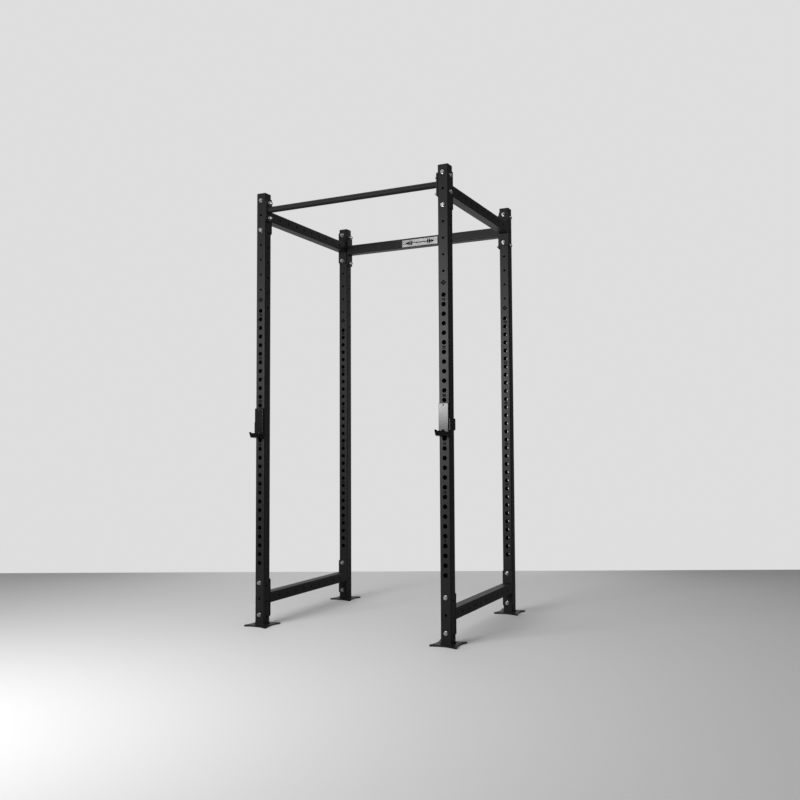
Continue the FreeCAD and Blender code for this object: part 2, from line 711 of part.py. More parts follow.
def add_guard(body, sign):
    """Guard bent back along the outer side of the upright."""
    inside = "(<post_width> / 2 + <guard_gap>)"
    outside = f"({inside} + <hook_steel>)"
    start = "(<hook_width> / 2 - <hook_steel>)"
    level = "-(<guard_drop> + <guard_height>)"
    sketch = new_sketch(body, "XY_Plane", level)
    back = "<post_width> / 2"
    draw_outline(sketch, [
        (f"{sign}{start}", f"-{PLATE_FRONT}"), (f"{sign}{outside}", f"-{PLATE_FRONT}"),
        (f"{sign}{outside}", back), (f"{sign}{inside}", back),
        (f"{sign}{inside}", f"-{PLATE_BACK}"), (f"{sign}{start}", f"-{PLATE_BACK}"),
    ])
    pad(body, sketch, "<guard_height>")
    edge_x = {"<hook_bend>": (inside, PLATE_BACK), "<hook_corner>": (outside, PLATE_FRONT)}
    for size, (across, out) in edge_x.items():
        dress(body, "Fillet", size, lambda middle, edge, across=across, out=out: (
            near(abs(middle.x), number(across)) and near(-middle.y, number(out))))
    rear = number(back)
    dress(body, "Fillet", "<guard_corner>", lambda middle, edge: (
        near(middle.y, rear) and near(abs(middle.x), number(f"{inside} + <hook_steel> / 2"))))


def cut_dip(body):
    """Shallow dip in the middle of the lip's top edge, with sloping ends."""
    lip_top = lip_point(shelf_path("0")[1], "<hook_lip_length>", "0")
    reach = f"({lip_top[0]} + 2 * <hook_steel>)"
    sketch = new_sketch(body, "XZ_Plane", reach)
    low = f"({lip_top[1]} - <lip_dip_depth>)"
    high = f"({lip_top[1]} + <lip_dip_depth>)"
    half = "<lip_dip_width> / 2"
    wide = f"({half} + 2 * <lip_dip_depth>)"
    draw_outline(sketch, [(f"-{half}", low), (half, low), (wide, high), (f"-{wide}", high)])
    pocket(body, sketch, "<hook_lip_length>")


def screw_levels():
    """Heights of the liner screws above the pin."""
    return "<hook_top> - <screw_inset>", "-<liner_drop> + <screw_inset>"


def make_hook_pin(name, sign):
    body = new_body(f"{name}_pin")
    sketch = new_sketch(body, "XZ_Plane", PLATE_BACK)
    draw_circle(sketch, "<hook_pin_diameter>")
    pad(body, sketch, "<hook_pin_length>", backwards=True)
    end = number(f"<hook_pin_length> - {PLATE_BACK}")
    dress(body, "Chamfer", "<hook_pin_chamfer>", lambda middle, edge: near(middle.y, end))
    place(body, f"{sign}{HALF_WIDTH}", f"-{HALF_DEPTH}", HOOK_HEIGHT)


def make_face_liner(name, sign):
    """Plastic plate in front of the back plate, with sunk screw holes."""
    body = new_body(f"{name}_face_liner")
    sketch = new_sketch(body, "XZ_Plane", PLATE_FRONT)
    half = "<hook_width> / 2"
    draw_outline(sketch, [
        (f"-{half}", "-<liner_drop>"), (half, "-<liner_drop>"),
        (half, "<hook_top>"), (f"-{half}", "<hook_top>"),
    ])
    pad(body, sketch, "<liner_thickness>")
    front = number(f"{PLATE_FRONT} + <liner_thickness>")
    dress(body, "Fillet", "<liner_edge>", lambda middle, edge: near(-middle.y, front))
    for diameter, depth in (("<screw_diameter>", "<liner_thickness>"),
                            ("<screw_head>", "<screw_head_height>")):
        holes = new_sketch(body, "XZ_Plane", f"{PLATE_FRONT} + <liner_thickness>")
        for level in screw_levels():
            draw_circle(holes, diameter, "0", level)
        pocket(body, holes, depth)
    place(body, f"{sign}{HALF_WIDTH}", f"-{HALF_DEPTH}", HOOK_HEIGHT)


def make_shelf_liner(name, sign):
    """Plastic liner that lies on the shelf and leans against the inside of the lip."""
    body = new_body(f"{name}_shelf_liner")
    corner, root = shelf_path("<shelf_liner>")
    lip = "(<hook_lip_length> - <shelf_liner_short>)"
    upstand = f"({PLATE_FRONT} + <liner_thickness>)"
    floor_rise = (f"(-<hook_shelf_drop> + <liner_thickness> * tan({SLOPE})"
                  f" + <shelf_liner> / cos({SLOPE}))")
    run = f"(<hook_bend> / tan((90 deg - {SLOPE}) / 2))"
    sketch = new_sketch(body, "YZ_Plane")
    draw_outline(sketch, forward([
        (PLATE_FRONT, "-<liner_drop>"),
        (PLATE_FRONT, f"(-<hook_shelf_drop> + {run})"),
        (f"({PLATE_FRONT} + {run} * cos({SLOPE}))",
         f"(-<hook_shelf_drop> + {run} * sin({SLOPE}))"),
        (f"({root[0]} - <hook_bend> * cos({SLOPE}))",
         f"({root[1]} - <hook_bend> * sin({SLOPE}))"),
        lip_point(root, "<hook_bend>", "0"),
        lip_point(root, lip, "0"),
        lip_point(root, lip, "<shelf_liner>"),
        corner,
        (upstand, floor_rise),
        (upstand, "-<liner_drop>"),
    ]))
    pad(body, sketch, "<hook_width>", both_ways=True)
    place(body, f"{sign}{HALF_WIDTH}", f"-{HALF_DEPTH}", HOOK_HEIGHT)


def make_guard_pad(name, sign):
    """Thin pad between the side guard and the upright."""
    pad_box = primitive("Box", f"{name}_guard_pad", Length="<guard_pad>",
                        Width="<post_width> - 4 * <guard_pad_margin>",
                        Height="<guard_height> - 2 * <guard_pad_margin>")
    inner = "<post_width> / 2 + <guard_gap>"
    x = f"-({HALF_WIDTH} + {inner})" if sign else f"{HALF_WIDTH} + {inner} - <guard_pad>"
    place(pad_box, x, f"-{HALF_DEPTH} - <post_width> / 2 + 3 * <guard_pad_margin>",
          f"{HOOK_HEIGHT} - <guard_drop> - <guard_height> + <guard_pad_margin>")
    keep(pad_box, f"{name}_guard_pad")


def make_hooks():
    """A mirrored pair, each with its guard on the outer side of its upright."""
    screw = master_screw()
    seat = f"(-{HALF_DEPTH} - {PLATE_FRONT} - <liner_thickness> + <screw_head_height>)"
    for side, sign in (("left", "-"), ("right", "")):
        name = f"{side}_hook"
        make_bracket(name, sign)
        make_hook_pin(name, sign)
        make_face_liner(name, sign)
        make_shelf_liner(name, sign)
        make_guard_pad(name, sign)
        screws = [("-Y", f"{sign}{HALF_WIDTH}", seat, f"{HOOK_HEIGHT} + {level}")
                  for level in screw_levels()]
        make_group(f"{name}_screws", screw, screws)


# ---------------------------------------------------------------- the whole cage

def make_uprights():
    for depth, y in (("front", f"-{HALF_DEPTH}"), ("rear", HALF_DEPTH)):
        for side, x in (("left", f"-{HALF_WIDTH}"), ("right", HALF_WIDTH)):
            make_upright(f"{depth}_{side}_upright", x, y)
            make_foot_plate(f"{depth}_{side}_foot_plate", x, y)
            make_end_cap(f"{depth}_{side}_end_cap", x, y)


def check_document():
    """Stop on any object that failed, and on any sub-part without a valid solid."""
    for item in doc.Objects:
        if {"Invalid", "Error"} & set(item.State):
            raise RuntimeError(f"{item.Label} failed: {item.State}")
    for item in sub_parts:
        shape = item.Shape
        if shape.isNull() or not shape.isValid() or not shape.Solids:
            raise RuntimeError(f"{item.Label} has no valid solid")


def write_parts():
    os.makedirs("parts", exist_ok=True)
    for item in sub_parts:
        item.Shape.exportStep(f"parts/{item.Label}.step")


fill_sheet()
make_uprights()
make_beams()
make_fasteners()
make_name_plate()
make_hooks()
doc.recompute()
check_document()
write_parts()
print(len(sub_parts), "sub-parts written")
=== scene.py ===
import json
import math

import bmesh
import bpy
from bpy.props import (
    FloatProperty, FloatVectorProperty, IntProperty, PointerProperty, StringProperty)
from mathutils import Matrix, Vector


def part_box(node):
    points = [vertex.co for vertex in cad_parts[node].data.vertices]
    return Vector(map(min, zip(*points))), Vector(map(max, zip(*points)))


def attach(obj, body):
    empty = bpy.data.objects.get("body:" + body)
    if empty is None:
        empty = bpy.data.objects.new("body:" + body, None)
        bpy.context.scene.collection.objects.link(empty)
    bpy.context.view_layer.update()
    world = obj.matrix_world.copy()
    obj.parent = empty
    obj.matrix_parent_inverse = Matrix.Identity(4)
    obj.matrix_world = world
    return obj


bl_info = {
    "name": "Power cage finish",
    "version": (1, 0, 0),
    "blender": (4, 5, 0),
    "location": "3D View > Sidebar > Cage",
    "description": "Paint, plating, welds, numerals and studio for a bolted barbell cage",
    "category": "Object",
}

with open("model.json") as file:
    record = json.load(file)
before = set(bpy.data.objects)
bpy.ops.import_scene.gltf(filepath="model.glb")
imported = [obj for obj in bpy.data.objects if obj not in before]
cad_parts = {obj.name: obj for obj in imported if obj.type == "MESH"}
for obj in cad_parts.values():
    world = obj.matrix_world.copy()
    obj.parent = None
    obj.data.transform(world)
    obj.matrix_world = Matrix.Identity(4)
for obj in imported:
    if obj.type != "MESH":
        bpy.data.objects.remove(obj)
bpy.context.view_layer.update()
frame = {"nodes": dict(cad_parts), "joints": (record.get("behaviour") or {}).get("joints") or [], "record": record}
NODES = frame["nodes"]
MM = 0.001
POSTS = ("front_left", "front_right", "rear_left", "rear_right")
PIN_PITCH = 50 * MM
PIN_COUNT = 30
HOOK_PIN = 18  # numbered hole that holds the hooks
SIDES = (-1, 1)


# ---------------------------------------------------------------- settings

class CageFinish(bpy.types.PropertyGroup):
    """Colours and surface qualities of the cage's finishes"""
    paint_hex: StringProperty(
        name="Paint", description="Powder coat of the frame", default="161617")
    paint_worn_hex: StringProperty(
        name="Paint, thin", description="Powder coat where it lies thinner", default="1c1c1d")
    hook_hex: StringProperty(
        name="Hook paint", description="Powder coat of the hooks", default="09090a")
    liner_hex: StringProperty(
        name="Liner", description="Wear plastic of the hooks", default="0d0d0e")
    cap_hex: StringProperty(name="Caps", description="Moulded end caps", default="161617")
    pad_hex: StringProperty(name="Pads", description="Rubber pads in the guards", default="0f0f10")
    zinc_hex: StringProperty(
        name="Zinc", description="Plated bolts, nuts and washers", default="dfe0e1")
    screw_hex: StringProperty(name="Screws", description="Black oxide screws", default="3a3a3b")
    plate_hex: StringProperty(name="Name plate", description="Brushed aluminium", default="919190")
    mark_hex: StringProperty(name="Marks", description="Numerals and marks", default="050505")
    paint_roughness: FloatProperty(
        name="Paint roughness", description="Gloss of the powder coat, 0 is a mirror",
        default=0.42, min=0.05, max=1.0, subtype="FACTOR")
    hook_roughness: FloatProperty(
        name="Hook roughness", description="Gloss of the hooks' coat",
        default=0.17, min=0.05, max=1.0, subtype="FACTOR")
    hook_sheen: FloatProperty(
        name="Hook sheen", description="How much light the hooks' coat mirrors, 0.5 is glass",
        default=0.24, min=0.0, max=1.0, subtype="FACTOR")
    bar_roughness: FloatProperty(
        name="Bar roughness", description="Gloss of the pull-up bar's grip coat",
        default=0.62, min=0.05, max=1.0, subtype="FACTOR")
    paint_grain: FloatProperty(
        name="Paint grain", description="Size of the powder coat's fine texture",
        default=1.4 * MM, min=0.2 * MM, max=5 * MM, unit="LENGTH")


class CageWelds(bpy.types.PropertyGroup):
    """Weld beads of the beams, feet and pull-up bar"""
    radius: FloatProperty(
        name="Bead radius", description="Half the width of a weld bead",
        default=3.2 * MM, min=1 * MM, max=6 * MM, unit="LENGTH")
    ripple: FloatProperty(
        name="Ripple", description="Distance between two ripples of a bead",
        default=3.4 * MM, min=1 * MM, max=10 * MM, unit="LENGTH")
    swell: FloatProperty(
        name="Swell", description="How far a ripple swells, as a share of the radius",
        default=0.12, min=0.0, max=0.4, subtype="FACTOR")


class CageThreads(bpy.types.PropertyGroup):
    """Thread on the bolt ends that stand out of their nuts"""
    radius: FloatProperty(
        name="Thread radius", description="Crest of the thread",
        default=6.25 * MM, min=4 * MM, max=10 * MM, unit="LENGTH")
    root: FloatProperty(
        name="Root radius", description="Valley of the thread",
        default=6.03 * MM, min=4 * MM, max=10 * MM, unit="LENGTH")
    pitch: FloatProperty(
        name="Pitch", description="Distance between two turns",
        default=1.75 * MM, min=0.5 * MM, max=4 * MM, unit="LENGTH")
    turns: IntProperty(name="Turns", description="Turns that show", default=3, min=1, max=10)


class CageMarks(bpy.types.PropertyGroup):
    """Numerals below every fifth pin hole, and the plain marks"""
    height: FloatProperty(
        name="Numeral height", description="Height of the numerals",
        default=13.5 * MM, min=4 * MM, max=30 * MM, unit="LENGTH")
    relief: FloatProperty(
        name="Relief", description="How far the marks stand proud of the paint",
        default=0.15 * MM, min=0.05 * MM, max=1 * MM, unit="LENGTH")
    weight: FloatProperty(
        name="Weight", description="How much bolder the figures are than the plain font",
        default=0.085, min=0.0, max=0.1, subtype="FACTOR")
    step: IntProperty(
        name="Step", description="Every which hole has a numeral", default=5, min=1, max=10)
    diamond: FloatProperty(
        name="Diamond", description="Width of the diamond near the top of the uprights",
        default=36 * MM, min=10 * MM, max=50 * MM, unit="LENGTH")


class CageStudio(bpy.types.PropertyGroup):
    """Floor, wall, lights and camera"""
    camera_place: FloatVectorProperty(
        name="Camera", description="Place of the camera", default=(2.3582, -4.6108, 1.0181),
        subtype="XYZ", unit="LENGTH")
    camera_heading: FloatProperty(
        name="Heading", description="Turn of the camera from straight ahead towards the left",
        default=math.radians(26.377), subtype="ANGLE", unit="ROTATION")
    camera_pitch: FloatProperty(
        name="Pitch", description="Upward tilt of the camera",
        default=math.radians(3.060), subtype="ANGLE", unit="ROTATION")
    camera_roll: FloatProperty(
        name="Roll", description="Roll of the camera",
        default=math.radians(-0.255), subtype="ANGLE", unit="ROTATION")
    camera_lens: FloatProperty(
        name="Lens", description="Focal length on a 36 mm sensor", default=38.917, min=10.0)
    wall_hex: StringProperty(name="Wall", description="Wall behind the cage", default="dedede")
    floor_hex: StringProperty(name="Floor", description="Studio floor", default="e2e2e2")
    # Painted reflection: glossy surfaces see the floor in this darker grey instead of its own colour
    floor_gloss_hex: StringProperty(
        name="Floor in gloss", description="Studio floor as glossy surfaces mirror it",
        default="8a8a8a")
    wall_distance: FloatProperty(
        name="Wall distance", description="Wall behind the middle of the cage",
        default=1.93, min=1.0, unit="LENGTH")
    floor_reach: FloatProperty(
        name="Floor reach", description="Half the side of the floor", default=14.0, unit="LENGTH")
    key_power: FloatProperty(
        name="Key light", description="Power of the large softbox", default=100.0, unit="POWER")
    fill_strength: FloatProperty(
        name="Fill", description="Strength of the even light from all round", default=0.2)
    wall_glow: FloatProperty(
        name="Wall glow", description="How strongly the middle of the wall lights the cage",
        default=0.75)
    wall_edge: FloatProperty(
        name="Wall edge", description="How strongly the wall lights it from the sides",
        default=0.12)
    fade_start: FloatProperty(
        name="Fade start", description="Distance aside from the wall's middle where it dims",
        default=1.2, unit="LENGTH")
    fade_end: FloatProperty(
        name="Fade end", description="Distance aside where the wall is at its dimmest",
        default=2.4, unit="LENGTH")
    top_power: FloatProperty(
        name="Top light", description="Power of the wide light overhead",
        default=95.0, unit="POWER")


GROUPS = {
    "cage_finish": CageFinish,
    "cage_welds": CageWelds,
    "cage_threads": CageThreads,
    "cage_marks": CageMarks,
    "cage_studio": CageStudio,
}


# ---------------------------------------------------------------- node helpers

def colour(hex_text):
    """Linear colour with alpha of an sRGB hex value."""
    channels = [int(hex_text[i:i + 2], 16) / 255 for i in (0, 2, 4)]
    linear = [c / 12.92 if c <= 0.04045 else ((c + 0.055) / 1.055) ** 2.4 for c in channels]
    return (*linear, 1.0)


def add(tree, kind, links=None, **settings):
    """Add a node: links feed its inputs from sockets, settings set inputs or properties."""
    node = tree.nodes.new(kind)
    for name, value in settings.items():
        if hasattr(node, name):
            setattr(node, name, value)
        else:
            node.inputs[name.replace("_", " ").title()].default_value = value
    for name, source in (links or {}).items():
        tree.links.new(source, node.inputs[name])
    return node


def new_material(name):
    """Empty node material with its output and a Principled shader."""
    material = bpy.data.materials.new(name)
    material.use_nodes = True
    tree = material.node_tree
    tree.nodes.clear()
    shader = add(tree, "ShaderNodeBsdfPrincipled")
    add(tree, "ShaderNodeOutputMaterial", {"Surface": shader.outputs["BSDF"]})
    return material, tree, shader


def scale_for(size):
    """Noise scale whose features are about that size in metres."""
    return 1 / size


def mottled(tree, shader, first, second, patch, roughness, spread):
    """Colour and roughness that drift a little over patches of that size."""
    place = add(tree, "ShaderNodeTexCoord")
    noise = add(tree, "ShaderNodeTexNoise", {"Vector": place.outputs["Object"]},
                scale=scale_for(patch), detail=4.0, roughness=0.6)
    ramp = add(tree, "ShaderNodeMix", {"Factor": noise.outputs["Fac"]}, data_type="RGBA")
    ramp.inputs[6].default_value = colour(first)
    ramp.inputs[7].default_value = colour(second)
    tree.links.new(ramp.outputs[2], shader.inputs["Base Color"])
    level = add(tree, "ShaderNodeMapRange", {"Value": noise.outputs["Fac"]})
    level.inputs["To Min"].default_value = roughness - spread
    level.inputs["To Max"].default_value = roughness + spread
    tree.links.new(level.outputs["Result"], shader.inputs["Roughness"])
    return place, noise


def grained(tree, shader, place, size, height, strength=1.0, stretch=None):
    """Fine bump of that grain size and height in metres, stretched along an axis if asked."""
    vector = place.outputs["Object"]
    if stretch:
        mapping = add(tree, "ShaderNodeMapping", {"Vector": vector})
        mapping.inputs["Scale"].default_value = stretch
        vector = mapping.outputs["Vector"]
    noise = add(tree, "ShaderNodeTexNoise", {"Vector": vector},
                scale=scale_for(size), detail=2.0, roughness=0.5)
    bump = add(tree, "ShaderNodeBump", {"Height": noise.outputs["Fac"]})
    bump.inputs["Strength"].default_value = strength
    bump.inputs["Distance"].default_value = height
    tree.links.new(bump.outputs["Normal"], shader.inputs["Normal"])
    return bump


# ---------------------------------------------------------------- finishes

def powder_coat(name, base, thin, roughness, grain, sheen=0.25):
    """Baked polyester powder on steel: near black, a soft sheen and a fine orange peel."""
    material, tree, shader = new_material(name)
    place, _ = mottled(tree, shader, base, thin, 90 * MM, roughness, 0.035)
    grained(tree, shader, place, grain, 0.06 * MM, 0.6)
    shader.inputs["Specular IOR Level"].default_value = sheen
    return material


def wear_plastic(name, base):
    """Machined UHMW polyethylene liner: smooth and glossy, with faint rubbing."""
    material, tree, shader = new_material(name)
    place, _ = mottled(tree, shader, base, base, 40 * MM, 0.16, 0.02)
    grained(tree, shader, place, 6 * MM, 0.03 * MM, 0.35, stretch=(0.2, 1.0, 1.0))
    shader.inputs["IOR"].default_value = 1.5
    return material


def moulded_plastic(name, base):
    """Injection-moulded polypropylene end cap with a fine spark-eroded texture."""
    material, tree, shader = new_material(name)
    place, _ = mottled(tree, shader, base, base, 30 * MM, 0.55, 0.03)
    grained(tree, shader, place, 0.9 * MM, 0.05 * MM, 0.8)
    return material


def sheet_rubber(name, base):
    """Die-cut rubber pad: matt, slightly pebbled."""
    material, tree, shader = new_material(name)
    place, _ = mottled(tree, shader, base, base, 25 * MM, 0.82, 0.04)
    grained(tree, shader, place, 1.2 * MM, 0.08 * MM, 0.8)
    return material


def zinc_plate(name, base):
    """Bright zinc on rolled steel: silver, faintly clouded, with fine drawn lines."""
    material, tree, shader = new_material(name)
    place, _ = mottled(tree, shader, base, "bcbec0", 7 * MM, 0.3, 0.08)
    grained(tree, shader, place, 0.5 * MM, 0.02 * MM, 0.5)
    shader.inputs["Metallic"].default_value = 1.0
    return material


def black_oxide(name, base):
    """Hot black oxide on alloy steel screws: dark metal with an oily sheen."""
    material, tree, shader = new_material(name)
    place, _ = mottled(tree, shader, base, "2c2c2d", 4 * MM, 0.38, 0.05)
    grained(tree, shader, place, 0.4 * MM, 0.01 * MM, 0.5)
    shader.inputs["Metallic"].default_value = 1.0
    return material


def brushed_aluminium(name, base, along):
    """Anodised aluminium sheet brushed one way: bright, with long hairlines."""
    material, tree, shader = new_material(name)
    place, _ = mottled(tree, shader, base, "c6c6c5", 25 * MM, 0.36, 0.05)
    grained(tree, shader, place, 0.7 * MM, 0.02 * MM, 0.6, stretch=along)
    shader.inputs["Metallic"].default_value = 0.85
    return material


def mark_ink(name, base):
    """Burnt-in laser mark: flat black, a little rough."""
    material, tree, shader = new_material(name)
    place, _ = mottled(tree, shader, base, "0a0a0a", 5 * MM, 0.85, 0.05)
    grained(tree, shader, place, 0.6 * MM, 0.03 * MM, 0.5)
    shader.inputs["Specular IOR Level"].default_value = 0.05
    return material


def make_finishes(finish):
    """Every finish of the cage, by the name of its material slot in the record."""
    coat = finish.paint_roughness
    grain = finish.paint_grain
    return {
        "frame_paint": powder_coat(
            "black_powder_coat", finish.paint_hex, finish.paint_worn_hex, coat, grain),
        "bar_paint": powder_coat(
            "bar_powder_coat", finish.paint_hex, finish.paint_worn_hex, finish.bar_roughness,
            grain),
        "hook_paint": powder_coat(
            "hook_powder_coat", finish.hook_hex, finish.hook_hex, finish.hook_roughness, grain,
            finish.hook_sheen),
        "liner_plastic": wear_plastic("uhmw_liner", finish.liner_hex),
        "pad_rubber": sheet_rubber("rubber_pad", finish.pad_hex),
        "cap_plastic": moulded_plastic("polypropylene_cap", finish.cap_hex),
        "zinc_hardware": zinc_plate("bright_zinc", finish.zinc_hex),
        "pin_steel": zinc_plate("plated_pin", finish.zinc_hex),
        "screw_steel": black_oxide("oxide_screw", finish.screw_hex),
        "name_plate_metal": brushed_aluminium("brushed_plate", finish.plate_hex, (0.04, 1.0, 1.0)),
        "rivet_metal": brushed_aluminium("rivet_aluminium", finish.plate_hex, (1.0, 1.0, 1.0)),
    }


def paint(piece, material):
    piece.data.materials.clear()
    piece.data.materials.append(material)


def finish_named(slot_name):
    """The finished material of a slot, made by the finishes operator."""
    return bpy.data.materials[bpy.context.scene["cage_materials"][slot_name]]


# ---------------------------------------------------------------- mesh helpers

def new_piece(name, mesh, material, body="frame"):
    """Link a mesh as a piece that rides on a body, with its finish."""
    piece = bpy.data.objects.new(name, mesh)
    bpy.context.scene.collection.objects.link(piece)
    paint(piece, material)
    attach(piece, body)
    return piece


def bake(carrier, name):
    """Turn a carrier's evaluated geometry into a plain mesh and remove the carrier."""
    graph = bpy.context.evaluated_depsgraph_get()
    mesh = bpy.data.meshes.new_from_object(carrier.evaluated_get(graph))
    mesh.name = name
    source = carrier.data
    carrier.modifiers.clear()
    bpy.data.objects.remove(carrier)
    if isinstance(source, bpy.types.Mesh):
        bpy.data.meshes.remove(source)
    return mesh


def carry(name, mesh):
    carrier = bpy.data.objects.new(name, mesh)
    bpy.context.scene.collection.objects.link(carrier)
    return carrier


def use_tree(carrier, tree, **values):
    """Give a carrier the tree as a modifier, with its named inputs set by identifier."""
    modifier = carrier.modifiers.new(tree.name, "NODES")
    modifier.node_group = tree
    for item in tree.interface.items_tree:
        if item.item_type == "SOCKET" and item.in_out == "INPUT" and item.name in values:
            modifier[item.identifier] = values[item.name]
    return modifier


def new_tree(name, inputs):
    """Geometry node tree with named inputs, each (name, socket type, default)."""
    tree = bpy.data.node_groups.new(name, "GeometryNodeTree")
    tree.interface.new_socket("Geometry", in_out="OUTPUT", socket_type="NodeSocketGeometry")
    tree.interface.new_socket("Geometry", in_out="INPUT", socket_type="NodeSocketGeometry")
    for label, kind, default in inputs:
        socket = tree.interface.new_socket(label, in_out="INPUT", socket_type=kind)
        if default is not None:
            socket.default_value = default
    start = tree.nodes.new("NodeGroupInput")
    end = tree.nodes.new("NodeGroupOutput")
    return tree, start, end


def close_tree(tree, start, end, geometry):
    """End a tree in Realize Instances and Set Material."""
    real = add(tree, "GeometryNodeRealizeInstances", {"Geometry": geometry})
    dressed = add(tree, "GeometryNodeSetMaterial",
                  {"Geometry": real.outputs["Geometry"], "Material": start.outputs["Material"]})
    tree.links.new(dressed.outputs["Geometry"], end.inputs["Geometry"])


# ---------------------------------------------------------------- weld beads

BEAD_LIFT = 0.35       # middle of a bead off the corner, as a share of its radius
TUBE_CORNER = 6 * MM
SHORT_OF_CORNER = 7 * MM   # straight beads end before the tube's rounded corner
STEPS_PER_RIPPLE = 5.0
BEAD_SIDES = 8


def ring_path(middle, across, up, half, corner, points=6):
    """Closed rounded square around middle, in the plane of two unit vectors."""
    path = []
    for quarter in range(4):
        for step in range(points + 1):
            angle = (quarter + step / points) * math.pi / 2
            turn = quarter * math.pi / 2 + math.pi / 4
            sx = math.copysign(half - corner, math.cos(turn)) + corner * math.cos(angle)
            sy = math.copysign(half - corner, math.sin(turn)) + corner * math.sin(angle)
            path.append(middle + across * sx + up * sy)
    return path


def weld_paths(radius):
    """Lines that the beads follow: (points, closed) pairs."""
    x, y, z = Vector((1, 0, 0)), Vector((0, 1, 0)), Vector((0, 0, 1))
    lift = BEAD_LIFT * radius
    paths = []
    for post in POSTS:
        low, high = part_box(f"{post}_upright")
        half = (high.x - low.x) / 2
        middle = Vector(((low.x + high.x) / 2, (low.y + high.y) / 2, low.z + lift))
        paths.append((ring_path(middle, x, y, half + lift, TUBE_CORNER), True))
    beams = [(f"{side}_{level}_beam", y, x) for side in ("left", "right")
             for level in ("top", "bottom")]
    beams.append(("rear_top_beam", x, y))
    for node, along, across in beams:
        low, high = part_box(node)
        half = (high.z - low.z) / 2
        middle = (low + high) / 2
        reach = abs((high - low).dot(along)) / 2 - lift
        for end in SIDES:
            for side in SIDES:
                line = middle + along * reach * end + z * (half + lift) * side
                width = across * (half - SHORT_OF_CORNER)
                paths.append(([line - width, line + width], False))
    low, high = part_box("pull_up_bar")
    bar = (high.z - low.z) / 2
    for end in SIDES:
        middle = (low + high) / 2 + x * ((high.x - low.x) / 2 - lift) * end
        paths.append((ring_path(middle, y, z, bar + lift, bar + lift), True))
    return paths


def path_mesh(paths):
    """Mesh of bare edges along the paths."""
    points, edges = [], []
    for path, closed in paths:
        first = len(points)
        points.extend(path)
        count = len(path)
        edges.extend((first + i, first + i + 1) for i in range(count - 1))
        if closed:
            edges.append((first + count - 1, first))
    mesh = bpy.data.meshes.new("weld_paths")
    mesh.from_pydata(points, edges, [])
    shape = bmesh.new()
    shape.from_mesh(mesh)
    bmesh.ops.remove_doubles(shape, verts=shape.verts, dist=0.01 * MM)
    shape.to_mesh(mesh)
    shape.free()
    return mesh


def bead_tree():
    """Round bead along each line, swelling once for each ripple."""
    tree, start, end = new_tree("weld_bead", [
        ("Radius", "NodeSocketFloat", 0.003), ("Ripple", "NodeSocketFloat", 0.003),
        ("Swell", "NodeSocketFloat", 0.1), ("Material", "NodeSocketMaterial", None)])
    samples = add(tree, "ShaderNodeMath", {0: start.outputs["Ripple"]}, operation="DIVIDE")
    samples.inputs[1].default_value = STEPS_PER_RIPPLE
    curve = add(tree, "GeometryNodeMeshToCurve", {"Mesh": start.outputs["Geometry"]})
    fine = add(tree, "GeometryNodeResampleCurve",
               {"Curve": curve.outputs["Curve"], "Length": samples.outputs[0]}, mode="LENGTH")
    along = add(tree, "GeometryNodeSplineParameter")
    turns = add(tree, "ShaderNodeMath",
                {0: along.outputs["Length"], 1: start.outputs["Ripple"]}, operation="DIVIDE")
    phase = add(tree, "ShaderNodeMath", {0: turns.outputs[0]}, operation="MULTIPLY")
    phase.inputs[1].default_value = 2 * math.pi
    wave = add(tree, "ShaderNodeMath", {0: phase.outputs[0]}, operation="SINE")
    swell = add(tree, "ShaderNodeMath", {0: wave.outputs[0], 1: start.outputs["Swell"]},
                operation="MULTIPLY_ADD")
    swell.inputs[2].default_value = 1.0
    radius = add(tree, "ShaderNodeMath", {0: swell.outputs[0], 1: start.outputs["Radius"]},
                 operation="MULTIPLY")
    profile = add(tree, "GeometryNodeCurvePrimitiveCircle")
    profile.inputs["Resolution"].default_value = BEAD_SIDES
    profile.inputs["Radius"].default_value = 1.0
    bead = add(tree, "GeometryNodeCurveToMesh",
               {"Curve": fine.outputs["Curve"], "Profile Curve": profile.outputs["Curve"],
                "Scale": radius.outputs[0]})
    bead.inputs["Fill Caps"].default_value = True
    smooth = add(tree, "GeometryNodeSetShadeSmooth", {"Geometry": bead.outputs["Mesh"]})
    close_tree(tree, start, end, smooth.outputs["Geometry"])
    return tree


def make_welds(welds):
    coat = finish_named("frame_paint")
    carrier = carry("weld_carrier", path_mesh(weld_paths(welds.radius)))
    use_tree(carrier, bead_tree(), Radius=welds.radius, Ripple=welds.ripple, Swell=welds.swell,
             Material=coat)
    new_piece("weld_beads", bake(carrier, "weld_beads"), coat)


# ---------------------------------------------------------------- bolt threads

def thread_stub(threads, sides=16):
    """Closed ribbed sleeve along Z that stands for the last turns of a thread."""
    levels = [(0.0, threads.root)]
    for turn in range(threads.turns):
        levels.append(((turn + 0.5) * threads.pitch, threads.radius))
        levels.append(((turn + 1.0) * threads.pitch, threads.root))
    shape = bmesh.new()
    rings = []
    for height, radius in levels:
        ring = [shape.verts.new((radius * math.cos(a), radius * math.sin(a), height))
                for a in (2 * math.pi * i / sides for i in range(sides))]
        rings.append(ring)
    for low, high in zip(rings, rings[1:]):
        for i in range(sides):
            j = (i + 1) % sides
            shape.faces.new((low[i], low[j], high[j], high[i]))
    shape.faces.new(list(reversed(rings[0])))
    shape.faces.new(rings[-1])
    mesh = bpy.data.meshes.new("thread_stub")
    shape.to_mesh(mesh)
    shape.free()
    return mesh


